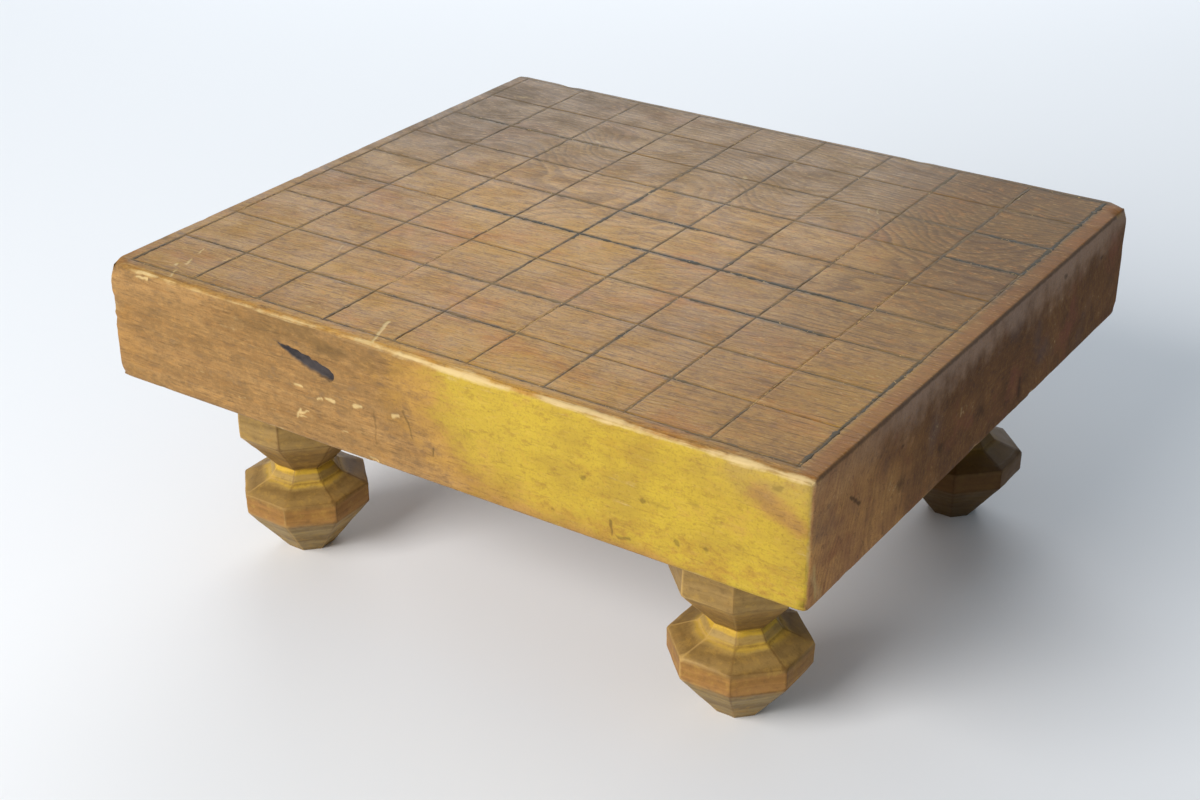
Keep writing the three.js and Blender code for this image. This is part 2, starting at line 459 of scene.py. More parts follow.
def nearness(start, end, reach):
    """1 on the line between two places in millimetres, falling smoothly to 0 at the reach."""
    off, share = from_line(place, np.array(start) * mm, np.array(end) * mm)
    return ramp(1 - np.linalg.norm(off / (np.array(reach) * mm), axis=1))


# Edges rubbed by hands: deeper along the long top edges, in short uneven stretches
in_from_end = half_length - np.abs(place[:, 0])
in_from_side = half_width - np.abs(place[:, 1])
under_top = slab_high.z - place[:, 2]
over_foot = place[:, 2] - slab_low.z
above_underside = np.clip(over_foot / (1 * mm), 0, 1)
to_long_edge = np.hypot(in_from_side, under_top)
to_end_edge = np.hypot(in_from_end, under_top)
to_upright_edge = np.hypot(in_from_end, in_from_side)
to_lower_edge = np.hypot(np.minimum(in_from_side, in_from_end), over_foot)
rub = unevenness(14 * mm, (1.6, 1.6, 1), 3)
nick_start, nick_span = 0.62, 0.38
nick = np.clip(unevenness(5 * mm, (1, 1, 1), 4) - nick_start, 0, 1) / nick_span
end_wear = 0.25 * mm * rub + 1.0 * mm * nick
side_wear = 0.2 * mm * rub + 0.9 * mm * nick
planed, fine_planed = 0.14 * mm, 0.05 * mm
sink = planed * unevenness(45 * mm, (2, 1, 1), 1) + fine_planed * unevenness(9 * mm, (3, 1, 1), 2)
sink += close_to(to_long_edge, 6 * mm) * 0.5 * mm * rub
sink += close_to(to_end_edge, 3 * mm) * end_wear
sink += close_to(to_upright_edge, 5 * mm) * side_wear
sink += close_to(to_lower_edge, 3 * mm) * side_wear * above_underside

# Knocks in millimetres: place, reach along X, Y and Z, and depth
knocks = [
    (left_mm, front_mm, 160, 11, 10, 10, 2.4),
    (left_mm, front_mm, 102, 7, 7, 6, 1.4),
    (left_mm, front_mm, 139, 3.5, 5, 6, 0.9),
    (left_mm, front_mm, 131.5, 3, 5, 2.4, 1.3),
    (left_mm, front_mm, 143, 3, 5, 2.2, 0.8),
    (right_mm, front_mm, 160, 5, 5, 5, 1.0),
    (right_mm, front_mm, 104, 5, 5, 6, 1.6),
    (right_mm, front_mm, 121, 2.5, 3, 3, 0.8),
    (right_mm, -130, 102, 3, 5, 3, 1.2),
    (right_mm, -8, 102, 3, 6, 3, 1.5),
    (right_mm, 55, 102, 3, 4, 3, 1.4),
    (right_mm, 150, 160, 5, 7, 5, 1.6),
    (right_mm, 163.5, 139, 4, 4, 8, 0.5),
    (right_mm, 163.5, 104, 5, 7, 5, 1.0),
    (right_mm, -138, 160, 2.5, 3.5, 2.5, 0.7),
    (right_mm, 68, 158, 3, 1.5, 3, 0.7),
    (-161, front_mm, 157.5, 5, 3, 2, 0.7),
    (-28.7, front_mm, 102.5, 3, 4, 3, 1.3),
    (-155, front_mm, 102.5, 4, 4, 2.4, 0.9),
    (-148, 163.5, 160, 8, 6, 5, 1.0),
    (70, 163.5, 159, 9, 5, 5, 0.9),
    (right_mm, 163.5, 160, 10, 10, 9, 2.4),
]
for *middle, reach_x, reach_y, reach_z, depth in knocks:
    sink += nearness(middle, middle, (reach_x, reach_y, reach_z)) * depth * mm

# Marks: each is at its full strength inside and falls to 0 over its soft border, which fine grit
# makes uneven. Chips and the gouge are cut into the wood, the gouge deeper to the right.
grit_fineness, grit_reach = 420, 0.7
grit_seed = 1796047827
chip_depth, spot_depth = 0.3, 0.06
gouge_depth, gouge_deeper = 0.5, 1.3
noise.seed_set(grit_seed)
grit = np.array([noise.noise_vector(Vector(p) * grit_fineness) for p in place])
shaken = place + grit * grit_reach * mm


def mark_shares(marks):
    """The strongest of the marks at each point of the slab."""
    most = np.zeros(len(shaken))
    for mark in marks:
        softness, strength = mark[-2:]
        most = np.maximum(most, strength * ramp(0.6 - past_border(shaken, mark) / (softness * mm)))
    return most


chip_share = mark_shares(chips)
spot_share = mark_shares(spots)
gouge_share = mark_shares(gouge_parts)
gouge_run = from_line(place, gouge_start, gouge_end)[1]
sink += chip_share * chip_depth * mm + spot_share * spot_depth * mm
sink += gouge_share * (gouge_depth + gouge_deeper * gouge_run) * mm

place -= facing * (sink * above_underside)[:, None]
place = np.clip(place, slab_low, slab_high)
slab_data.vertices.foreach_set("co", place.ravel())
slab_data.update()

slab = add_object("playing_board", slab_data)


def shade(code):
    """The linear colour of a hexadecimal screen colour."""
    parts = [int(code[n : n + 2], 16) / 255 for n in (0, 2, 4)]
    linear = [part / 12.92 if part <= 0.04045 else ((part + 0.055) / 1.055) ** 2.4 for part in parts]
    return (*linear, 1.0)


class Wire:
    """What a node gives out. Arithmetic on it adds nodes to the same tree."""

    def __init__(self, home, socket):
        self.home = home
        self.socket = socket

    def math(self, operation, *others):
        return self.home.math(operation, self, *others)

    def __add__(self, other):
        return self.math("ADD", other)

    def __sub__(self, other):
        return self.math("SUBTRACT", other)

    def __rsub__(self, other):
        return self.home.math("SUBTRACT", other, self)

    def __mul__(self, other):
        return self.math("MULTIPLY", other)

    def __truediv__(self, other):
        return self.math("DIVIDE", other)

    def __rtruediv__(self, other):
        return self.home.math("DIVIDE", other, self)

    def onto(self, share, other):
        """The other value with a share of this one added."""
        return self.math("MULTIPLY_ADD", share, other)

    def ragged(self, clouds, reach):
        """This value pushed up and down by clouds."""
        return (clouds - 0.5).onto(reach, self)

    def fade(self, start, end, low=0.0, high=1.0):
        """Goes smoothly from low to high as this value goes from start to end."""
        settings = {"interpolation_type": "SMOOTHSTEP"}
        return self.home.add("ShaderNodeMapRange", settings, (self, start, end, low, high))

    def tint(self, under, over):
        """The colour under, covered by the colour over where this value is high."""
        settings = {"data_type": "RGBA"}
        return self.home.add("ShaderNodeMix", settings, output="Result", Factor=self, A=under, B=over)

    def clouds(self, detail=2.0, rough=0.5, swirl=0.0):
        """Noise at these places."""
        looks = {"Scale": 1.0, "Detail": detail, "Roughness": rough, "Distortion": swirl}
        return self.home.add("ShaderNodeTexNoise", output="Fac", Vector=self, **looks)


class NodeTree:
    """Nodes that are added one by one and fed with wires, numbers or colour codes."""

    def feed(self, socket, value):
        if isinstance(value, Wire):
            self.tree.links.new(value.socket, socket)
        elif isinstance(value, str) and socket.type == "RGBA":
            socket.default_value = shade(value)
        else:
            socket.default_value = value

    def add(self, kind, settings=None, values=(), output=0, **sockets):
        """A node with its settings, then its sockets in order and by name. Gives one output."""
        node = self.tree.nodes.new(kind)
        for name, value in (settings or {}).items():
            setattr(node, name, value)
        for socket, value in zip(node.inputs, values):
            self.feed(socket, value)
        for name, value in sockets.items():
            self.feed(node.inputs[name.replace("_", " ")], value)
        return Wire(self, node.outputs[output])

    def math(self, operation, *values):
        return self.add("ShaderNodeMath", {"operation": operation}, values)

    def vector(self, x=0.0, y=0.0, z=0.0):
        return self.add("ShaderNodeCombineXYZ", values=(x, y, z))

    def parts(self, vector):
        node = self.add("ShaderNodeSeparateXYZ", values=(vector,)).socket.node
        return [Wire(self, socket) for socket in node.outputs]


class Finish(NodeTree):
    """A material whose colour, roughness and relief are worked out from Object coordinates."""

    def __init__(self, name):
        self.material = bpy.data.materials.new(name)
        self.material.use_nodes = True
        self.tree = self.material.node_tree
        self.place = self.add("ShaderNodeTexCoord", output="Object")
        self.x, self.y, self.z = self.parts(self.place)

    def move(self, operation, *vectors, output="Vector"):
        return self.add("ShaderNodeVectorMath", {"operation": operation}, vectors, output)

    def veins(self, x, y, z, shift, detail, rough=0.5, swirl=0.0):
        """Clouds with that many features per metre along each axis, and a shift of their own."""
        scaled = self.move("MULTIPLY", self.place, (x, y, z))
        return self.move("ADD", scaled, (shift, shift * 0.7, shift * 1.3)).clouds(detail, rough, swirl)

    def painted(self, name):
        return self.add("ShaderNodeAttribute", {"attribute_name": name}, output="Fac")

    def dress(self, colour, gloss, roughness, relief, relief_depth):
        shader = self.tree.nodes["Principled BSDF"]
        self.feed(shader.inputs["Base Color"], colour)
        self.feed(shader.inputs["Specular IOR Level"], gloss)
        self.feed(shader.inputs["Roughness"], roughness)
        bumps = self.add("ShaderNodeBump", Height=relief, Distance=relief_depth)
        self.feed(shader.inputs["Normal"], bumps)


def stained(colour, *stains):
    """The colour under stains, one over the other.

    Each has a share and its own colour. Where three numbers stand between them, they turn the
    value before them into the share: where it starts, where it is full, and how strong it is.
    """
    for share, *reach, stain in stains:
        if reach:
            start, full, strength = reach
            share = share.fade(start, full, 0.0, strength)
        colour = share.tint(colour, stain)
    return colour


def paint(mesh, name, values):
    """Stores one number for each point of a mesh, for its finish to read."""
    layer = mesh.attributes.new(name, "FLOAT", "POINT")
    layer.data.foreach_set("value", np.asarray(values, np.float32))


# How bold each inked line is along its length: half widths in millimetres, by stretches that
# begin and end at places along the line. Elsewhere a line has its own plain half width.
ink_spread = 1.15
bold_turn = 3 * mm
bleed_start, bleed_span = 0.4 * mm, 0.6 * mm
plain_half_widths = {
    "along": (0.38, 0.40, 0.36, 0.33, 0.42, 0.38, 0.34, 0.33, 0.28, 0.40),
    "across": (0.36, 0.43, 0.42, 0.36, 0.50, 0.44, 0.40, 0.36, 0.33, 0.48),
}
bold_stretches = {
    "along": {
        1: [(-22, 22, 0.52), (30, 90, 0.18), (96, 106, 0.6), (108, 172, 0.18)],
        2: [(-175, -146, 0.24), (-64, 22, 0.48)],
        3: [(-50, -22, 0.26), (20, 60, 0.46), (60, 130, 0.7), (130, 172, 0.42)],
        4: [(-136, -98, 0.2), (-84, -76, 0.95), (-76, 134, 0.8), (134, 172, 0.5)],
        5: [(-138, -104, 0.26), (-62, -20, 0.56), (-16, 24, 0.68), (134, 172, 0.18)],
        6: [(-22, 95, 0.48), (134, 172, 0.9)],
        7: [(-166, -138, 0.62), (-138, -66, 0.54), (-60, -22, 0.13), (95, 134, 0.5), (134, 172, 0.85)],
        8: [(-175, -98, 0.2), (-60, -22, 0.16), (95, 134, 0.12), (134, 172, 0.4)],
        9: [(134, 172, 0.6)],
    },
    "across": {
        0: [(-158, -122, 0.6), (-86, -50, 0.2)],
        1: [(-120, -86, 0.26), (122, 157, 0.24)],
        2: [(-16, 18, 0.55), (18, 54, 0.3)],
        3: [(-155, -122, 0.5), (-112, -60, 0.13)],
        4: [(-155, -86, 0.28), (-24, -8, 0.75), (0, 54, 0.64), (122, 157, 0.22)],
        5: [(-155, -122, 0.3), (-122, -88, 0.13), (-50, -16, 0.6)],
        6: [(-124, -99, 0.56), (-99, -93, 1.5), (-50, -16, 0.26), (-16, 18, 0.52)],
        7: [(-110, -92, 0.24), (18, 54, 0.2), (122, 157, 0.6)],
        8: [(-155, -128, 0.38), (-126, 18, 0.14), (50, 157, 0.54)],
        9: [(-156, -50, 0.66), (-50, 18, 0.26), (54, 157, 0.8)],
    },
}


def boldness(run, number, places):
    """Half width, in metres, of one inked line at places along it."""
    half = np.full(len(places), plain_half_widths[run][number])
    for start, end, width in bold_stretches[run].get(number, ()):
        share = ramp(places, start * mm - bold_turn, start * mm + bold_turn)
        share *= 1 - ramp(places, end * mm - bold_turn, end * mm + bold_turn)
        half += (width - half) * share
    return half * ink_spread * mm


def bleed_beside(run, lines, spacing, across, along, ends, least):
    """How strongly ink has crept out of the nearest line, between the ends of the grid."""
    bleed = np.zeros(len(along))
    for number, line in enumerate(lines):
        close = np.abs(across - line) < spacing / 2
        strength = (boldness(run, number, along) - bleed_start) / bleed_span
        bleed[close] = np.clip(least + strength, 0, 1)[close]
    return bleed * (along > ends[0]) * (along < ends[1])


# Broad changes of colour, painted on the slab's points. The finish breaks them up with grain.
at_x, at_y, at_z = place.T
on_front = ramp(-at_y, half_width - 3 * mm, half_width - 1 * mm)
yellow = on_front * ramp(at_x, -74 * mm, 104 * mm) * (ramp(at_z, 100 * mm, 108 * mm) * 0.3 + 0.7)
brown_patch = nearness((161, front_mm, 149), (178, front_mm, 138), (13, 9000, 9))
low_brown = nearness((-30, front_mm, 102), (95, front_mm, 98), (55, 9000, 18))
# The pale band along the front top edge is partly rubbed wood and partly a painted highlight
rub_and_highlight_reach = (2.7 + 1.3 * ramp(at_x, -100 * mm, 10 * mm)) * mm
upright_rub = close_to(to_upright_edge, 2.6 * mm) * ramp(-at_y, 0, half_width)
worn_edges = np.maximum(close_to(to_long_edge, 3.6 * mm) * 0.35, upright_rub)
worn_edges = np.maximum(worn_edges, close_to(to_lower_edge, 2.2 * mm) * 0.8)
worn_corner = nearness((right_mm, -159, 121), (right_mm, -156.5, 105), (3, 2.4, 3))
# Painted shade, greyed as by a sheen, towards the back and the left end, with less of it in the middle
back_shade_and_sheen = 0.8 * ramp(at_y, -90 * mm, 150 * mm) + 0.35 * ramp(-at_x, 40 * mm, 190 * mm)
unshaded_middle = nearness((-60, 10, 160), (60, 25, 160), (110, 70, 40))
# Darker towards the right and back: partly painted shade, partly darker wood
right_shade_and_dark_wood = ramp(at_x, 25 * mm, 150 * mm) * (0.66 + 0.5 * ramp(at_y, -80 * mm, 130 * mm))
grid_length = (line_xs[0] - 3 * mm, line_xs[-1] + 2 * mm)
grid_width = (line_ys[0] - 2 * mm, line_ys[-1] + 2 * mm)
painted = {
    "yellow": yellow * (1 - 0.42 * brown_patch) * (1 - 0.5 * low_brown),
    "end_grain": ramp(np.abs(at_x), half_length - 1.3 * mm, half_length - 0.5 * mm),
    "front_rub_and_highlight": close_to(np.hypot(half_width + at_y, slab_high.z - at_z), rub_and_highlight_reach),
    "other_rub": np.maximum(worn_edges, worn_corner),
    "back_shade_and_sheen": np.clip(back_shade_and_sheen - 0.55 * unshaded_middle, 0, 1),
    "right_shade_and_dark_wood": np.clip(right_shade_and_dark_wood, 0, 1),
    "chip": chip_share,
    "spot": spot_share,
    "gouge": gouge_share,
    "bleed": bleed_beside("along", line_ys, square_width, at_y, at_x, grid_length, 0.38),
    "side_bleed": bleed_beside("across", line_xs, square_length, at_x, at_y, grid_width, 0.26),
}
for name, values in painted.items():
    paint(slab_data, name, values)

# Growth rings lie round a pith that runs along the slab under its underside and dips to the right,
# so the top shows pointed arches near the middle and close wavy lines towards the back
pith_y, pith_z = 20 * mm, 84 * mm
pith_dip = 0.12
ring_gap = 3.1 * mm
wave_start, wave_length, wave_height = 36 * mm, 98 * mm, 9 * mm
slow_sway, quick_sway = 26 * mm, 2.6 * mm

wood = Finish("slab_wood")
slow = wood.veins(12, 22, 22, 3.1, 2, 0.5)
quick = wood.veins(34, 80, 80, 8.4, 3, 0.6)
from_pith = wood.vector(0.0, wood.y - pith_y, wood.z - pith_z)
from_pith = wood.x.onto(pith_dip, wood.move("LENGTH", from_pith, output="Value"))
wave = ((wood.x - wave_start) * (2 * math.pi / wave_length)).math("COSINE")
wave_here = wood.y.fade(30 * mm, 72 * mm) * wood.y.fade(125 * mm, 92 * mm)
arched = (wave * wave_here).onto(wave_height, from_pith)
ring_count = arched.ragged(slow, slow_sway).ragged(quick, quick_sway) / ring_gap
ring_share = ring_count.math("FRACT")
late_wood = ring_share.fade(0.25, 0.8) * ring_share.fade(0.84, 1.0, 1.0, 0.0)
ring_strength = wood.vector(ring_count * 0.37).clouds()
ring_line = late_wood * ring_strength.fade(0.35, 0.65, 0.2, 1.0)

# Fibres and pores are long and thin along the slab
fibre = wood.veins(22, 420, 420, 1.7, 4, 0.65)
broad_streak = wood.veins(6, 75, 75, 5.2, 3, 0.55, 0.6)
hair = wood.veins(42, 1050, 1050, 3.7, 3, 0.7)
pores = wood.veins(120, 1300, 1300, 2.9, 1).fade(0.6, 0.74)
mottle = wood.veins(38, 52, 52, 6.6, 5, 0.65)
blotch = wood.veins(150, 260, 260, 17.3, 4, 0.75)
patches = wood.veins(9, 15, 15, 9.3, 3, 0.6)
grime = wood.veins(17, 24, 24, 12.7, 5, 0.7)
speck = wood.veins(420, 640, 640, 4.4, 2, 0.7)
fleck = wood.veins(260, 900, 900, 15.1, 1)
tiny = wood.veins(900, 900, 900, 20.3, 1)
streaks = blotch.onto(0.45, broad_streak.onto(0.3, fibre * 0.25))

on_top = wood.z.fade(slab_high.z - 2.4 * mm, slab_high.z - 1.0 * mm)
yellow, end_grain, back_shade_and_sheen, right_shade_and_dark_wood = [wood.painted(name) for name in ("yellow", "end_grain", "back_shade_and_sheen", "right_shade_and_dark_wood")]

# The top is golden brown near the front. Towards the back it is painted darker and greyer, as
# shade and sheen, and towards the right darker, partly painted shade and partly darker wood.
ring_run = (-70 * mm, 55 * mm)
margin = wood.x.fade(line_xs[-1] + 1 * mm, line_xs[-1] + 4 * mm)
top = stained(
    "956b36",
    (streaks, 0.4, 0.62, 1.0, "bc904d"),
    (patches, 0.48, 0.64, 0.85, "b88939"),
    (patches, 0.45, 0.3, 0.4, "8b6644"),
    (grime, 0.52, 0.68, 0.7, "aa6c2d"),
    (blotch, 0.52, 0.66, 0.6, "b1742c"),
    (blotch, 0.48, 0.34, 0.5, "806044"),
    (fibre, 0.52, 0.7, 0.3, "734c24"),
    (hair, 0.52, 0.7, 0.5, "64401d"),
    (hair, 0.46, 0.3, 0.45, "c48c44"),
    (speck, 0.56, 0.72, 0.4, "6d4821"),
    (ring_line * wood.y.fade(*ring_run, 0.15, 0.5), "614523"),
    (ring_share.fade(0.0, 0.3, 0.2, 0.0), "c29d60"),
    # painted shade and sheen towards the back
    (back_shade_and_sheen * mottle.fade(0.3, 0.7, 0.6, 0.9), "5d472d"),
    # painted shade and darker wood towards the right
    (right_shade_and_dark_wood * grime.fade(0.35, 0.65, 0.6, 0.22), "5d3c14"),
    (ring_line * (right_shade_and_dark_wood * wood.y.fade(*ring_run, 0.12, 0.36)), "4a3016"),
    (hair.fade(0.54, 0.72) * (right_shade_and_dark_wood * 0.5), "4a3016"),
    (blotch.fade(0.54, 0.68) * (right_shade_and_dark_wood * 0.4), "b27634"),
    (margin * grime.fade(0.3, 0.6, 0.35, 0.9), "865423"),
)

# The long sides have a dark band under the top edge and a dusty right end
dark_band = wood.z.fade(143 * mm, 152 * mm) * mottle.fade(0.35, 0.6)
dark_band = dark_band * (wood.x.fade(-125 * mm, -85 * mm) * wood.x.fade(15 * mm, -25 * mm))
dusty = wood.x.fade(120 * mm, 170 * mm) * wood.z.fade(138 * mm, 156 * mm)
dusty = dusty * mottle.fade(0.35, 0.62, 0.15, 0.75)
side = stained(
    "87663c",
    (streaks, 0.4, 0.62, 1.0, "aa8352"),
    (blotch, 0.53, 0.68, 0.4, "a9793b"),
    (blotch, 0.47, 0.33, 0.4, "7b644c"),
    (fibre, 0.42, 0.66, 0.5, "7c572d"),
    (hair, 0.5, 0.7, 0.45, "76542e"),
    (hair, 0.46, 0.3, 0.4, "bd9055"),
    (grime, 0.52, 0.72, 0.5, "a5773b"),
    (mottle, 0.55, 0.75, 0.4, "87704d"),
    (ring_line * 0.25, "694d2a"),
    (dark_band * 0.7, "6b512e"),
)

# The yellow zone of the front fades in through ochre, in blots and streaks
ochre = stained("b08640", (mottle, 0.35, 0.65, 1.0, "8f6a35"))
yellow_wood = stained(
    "b89b33",
    (mottle, 0.35, 0.7, 1.0, "a58733"),
    (wood.z.fade(122 * mm, 106 * mm) * blotch.fade(0.42, 0.6, 0.0, 0.7), "a67c34"),
    (patches, 0.45, 0.7, 0.4, "c2a63a"),
    (fibre, 0.5, 0.75, 0.3, "93742b"),
    (speck, 0.55, 0.72, 0.28, "87652b"),
    (blotch, 0.53, 0.68, 0.5, "8f6d2f"),
    (grime, 0.54, 0.74, 0.45, "9a6f2c"),
)
yellow_edge = yellow
for clouds, reach in ((patches, 0.95), (mottle, 0.75), (grime, 0.5), (blotch, 0.6), (fibre, 0.22)):
    yellow_edge = yellow_edge.ragged(clouds, reach)
side = stained(
    side,
    (yellow_edge, 0.18, 0.5, 0.9, ochre),
    (yellow_edge, 0.42, 0.82, 1.0, yellow_wood),
    (dusty * 0.6, "a68a58"),
)

# End grain is dark, with rings as arcs, upright saw streaks and old hand dirt. Under its top edge
# a grey band is painted sheen and a thin dark line is painted shadow.
saw_streak = wood.veins(60, 130, 60, 7.7, 4, 0.7)
near_front = (wood.z - 130 * mm).onto(0.6, wood.y).ragged(grime, 90 * mm)
# Painted sheen: a pale grey band under the end's top edge
sheen_band_under_top = wood.z.ragged(mottle, 40 * mm).fade(138 * mm, 160 * mm, 0.0, 0.75)
end = stained(
    stained("603f23", (mottle, 0.35, 0.7, 1.0, "7a522e")),
    (near_front, -45 * mm, -160 * mm, 1.0, stained("a3734c", (mottle, 0.3, 0.7, 1.0, "c99357"))),
    (saw_streak, 0.48, 0.76, 0.22, "3d312a"),
    (blotch, 0.52, 0.68, 0.4, "8b643d"),
    (blotch, 0.47, 0.33, 0.4, "3a2d2b"),
    (ring_line * 0.25, "3f3128"),
    (grime, 0.52, 0.7, 0.65, "804b36"),
    (patches, 0.47, 0.32, 0.5, "554948"),
    # painted sheen under the top edge, stronger towards the back
    (sheen_band_under_top * wood.y.fade(-150 * mm, -70 * mm, 0.25, 1.0), "a08470"),
    # painted shadow: a thin dark line along the end's top edge
    (wood.z.ragged(blotch, 2.5 * mm), 157.4 * mm, 158.8 * mm, 0.55, "36261c"),
)

# Ink has crept into the wood beside the lines, most beside those that run along the grain
off_line = ((wood.y - line_ys[0]) / square_width).math("PINGPONG", 0.5) * square_width
off_side = ((wood.x - line_xs[0]) / square_length).math("PINGPONG", 0.5) * square_length
creep = off_line.ragged(mottle, 3.4 * mm).fade(0.3 * mm, 2.9 * mm, 1.0, 0.0) * wood.painted("bleed")
side_creep = off_side.ragged(speck, 2.2 * mm).fade(0.5 * mm, 1.6 * mm, 1.0, 0.0) * wood.painted("side_bleed")
creep = creep.math("MAXIMUM", side_creep) * on_top

# Pores, weaker where the yellow lies over them, pale flecks and fine speckle, then the crept ink,
# the rubbed edges, the front one pale from wear and a painted highlight, and the marks: dark spots,
# pale chips and the grey floor of the gouge
quiet = 1.0 - yellow_edge.fade(0.4, 0.8) * 0.7
flecks = fleck.fade(0.6, 0.74) * on_top.fade(0.0, 1.0, 0.1, 0.25)
front_rub_and_highlight = wood.painted("front_rub_and_highlight").ragged(mottle, 1.5).ragged(fibre, 1.1)
other_rub = wood.painted("other_rub").ragged(mottle, 1.4).ragged(speck, 0.6)
colour = stained(
    on_top.tint(side, top),
    (end_grain, end),
    (pores * (quiet * 0.3), "4a3520"),
    (flecks * (1.0 - end_grain), "cfa768"),
    (tiny, 0.5, 0.75, 0.22, "5a4228"),
    (speck.fade(0.3, 0.45, 0.18, 0.0), "b07c3c"),
    (creep * 0.62, "494337"),
    # pale front edge: rubbed wood with a painted highlight
    (front_rub_and_highlight, 0.25, 0.7, 0.85, "d2b782"),
    (other_rub, 0.4, 0.9, 0.65, "bf9f66"),
    (wood.painted("spot") * 0.75, end_grain.tint("46361f", "1c130b")),
    (wood.painted("chip") * 0.85, "d8bd84"),
    (wood.painted("gouge"), stained("232022", (mottle, 0.35, 0.65, 1.0, "46403f"))),
)
dry = (end_grain * 0.8).math("MAXIMUM", right_shade_and_dark_wood.fade(0.2, 1.0, 0.45, 0.6))
roughness = mottle.fade(0.3, 0.75, 0.42, 0.6).math("MAXIMUM", dry)
grain_relief = speck.onto(0.4, pores.onto(-0.6, ring_line.onto(0.4, fibre * 0.5)))
wood.dress(colour, 0.12, roughness, grain_relief, 0.14 * mm)
slab_data.materials.append(wood.material)
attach(slab, "board")
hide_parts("slab")

# Ink lines: dark lacquer that was laid along the scribed lines and then crept, beaded and wore off.
# Each line is its own thin strip, sunk in its groove, as wide as the ink has spread there.
ink_step = 1.0 * mm
ink_thickness_share = 0.13
ink_sunk = 0.03 * mm
ink_overrun = 0.5 * mm
least_swell = 0.3
worn_start, worn_span = 0.3, 0.1
bold_start, bold_span = 0.54, 0.3


class Tree(NodeTree):
    """A Geometry Nodes tree with named inputs, run on a helper mesh and kept as a plain mesh."""

    def __init__(self, name):
        self.tree = bpy.data.node_groups.new(name, "GeometryNodeTree")
        self.entry = self.tree.nodes.new("NodeGroupInput")
        self.values = {}
        for way in ("INPUT", "OUTPUT"):
            self.tree.interface.new_socket("Geometry", in_out=way, socket_type="NodeSocketGeometry")
        self.geometry = Wire(self, self.entry.outputs["Geometry"])

    def knob(self, name, value):
        """A new named input of the tree, and the value that it is run with."""
        kind = {int: "NodeSocketInt", float: "NodeSocketFloat"}.get(type(value), "NodeSocketMaterial")
        self.tree.interface.new_socket(name, in_out="INPUT", socket_type=kind)
        self.values[name] = value
        return Wire(self, self.entry.outputs[name])

    def read(self, name):
        kind = "GeometryNodeInputNamedAttribute"
        return self.add(kind, {"data_type": "FLOAT"}, output="Attribute", Name=name)

    def position(self):
        return self.add("GeometryNodeInputPosition")

    def noise(self, scale, seed):
        """Noise over the places of the points, from 0 to 1."""
        looks = {"W": seed, "Scale": scale, "Detail": 2.0}
        settings = {"noise_dimensions": "4D"}
        return self.add("ShaderNodeTexNoise", settings, output="Fac", Vector=self.position(), **looks)

    def resampled(self, curve, step):
        return self.add("GeometryNodeResampleCurve", {"mode": "LENGTH"}, Curve=curve, Length=step)

    def circle(self, count):
        return self.add("GeometryNodeCurvePrimitiveCircle", {"mode": "RADIUS"}, Resolution=count, Radius=1.0)

    def swept(self, curve, profile, scale):
        """A closed solid with the profile, scaled point by point, all along the curve."""
        ends = {"Fill_Caps": True}
        return self.add("GeometryNodeCurveToMesh", Curve=curve, Profile_Curve=profile, Scale=scale, **ends)

    def close(self, geometry, material):
        """The end of every tree: plain geometry in one material."""
        plain = self.add("GeometryNodeRealizeInstances", Geometry=geometry)
        dressed = self.add("GeometryNodeSetMaterial", Geometry=plain, Material=material)
        self.feed(self.tree.nodes.new("NodeGroupOutput").inputs[0], dressed)

    def make(self, helper, name):
        """Runs the tree on a helper mesh and returns the result as an object of its own."""
        start = add_object(name + "_helper", helper)
        modifier = start.modifiers.new("tree", "NODES")
        modifier.node_group = self.tree
        inputs = [item for item in self.tree.interface.items_tree if item.in_out == "INPUT"]
        sockets = {item.name: item.identifier for item in inputs}
        for key, value in self.values.items():
            modifier[sockets[key]] = value
        graph = bpy.context.evaluated_depsgraph_get()
        mesh = bpy.data.meshes.new_from_object(start.evaluated_get(graph))
        bpy.data.objects.remove(start)
        mesh.name = name
        return add_object(name, mesh)


ink = Finish("ink")
ink_cloud = ink.veins(150, 150, 150, 1.3, 3, 0.6)
ink_bead = ink.veins(620, 620, 620, 4.1, 2, 0.6)
ink_colour = stained(
    "5a4833",
    (ink_cloud, 0.35, 0.65, 1.0, "7e6644"),
    (ink.painted("bold") * 0.8, "32322a"),
    (ink.painted("worn").onto(0.22, ink_bead), 0.64, 0.72, 0.9, "cda565"),
)
ink.dress(ink_colour, 0.12, ink_cloud.fade(0.3, 0.7, 0.55, 0.7), ink_bead, 0.15 * mm)

lay = Tree("lay_ink")
bead_size = lay.knob("Bead Size", 2.6 * mm)
bead_depth = lay.knob("Bead Depth", 2.2)
wander = lay.knob("Wander", 2.4 * mm)
step_length = lay.knob("Step Length", ink_step)
thickness_share = lay.knob("Thickness Share", ink_thickness_share)
ceiling = lay.knob("Ceiling", slab_high.z - 0.01 * mm)
lay_seed = lay.knob("Seed", 3.0)
lay_material = lay.knob("Material", ink.material)
strokes = lay.resampled(lay.add("GeometryNodeMeshToCurve", Mesh=lay.geometry), step_length)
swell = (lay.noise(1.0 / bead_size, lay_seed) - 0.5).onto(bead_depth * 2.0, 1.0)
swell = swell.ragged(lay.noise(0.2 / bead_size, lay_seed), bead_depth).math("MAXIMUM", least_swell)
half = lay.read("half_width") * swell
drift = (lay.noise(70.0, lay_seed + 5.0) - 0.5) * wander
strokes = lay.add("GeometryNodeSetPosition", Geometry=strokes, Offset=lay.vector(drift, drift))
strokes = lay.add("GeometryNodeSetCurveNormal", {"mode": "Z_UP"}, Curve=strokes)
flatten = lay.vector(1.0, thickness_share, 1.0)
section = lay.add("GeometryNodeTransform", Geometry=lay.circle(8), Scale=flatten)
strips = lay.swept(strokes, section, half)
strip_x, strip_y, strip_z = lay.parts(lay.position())
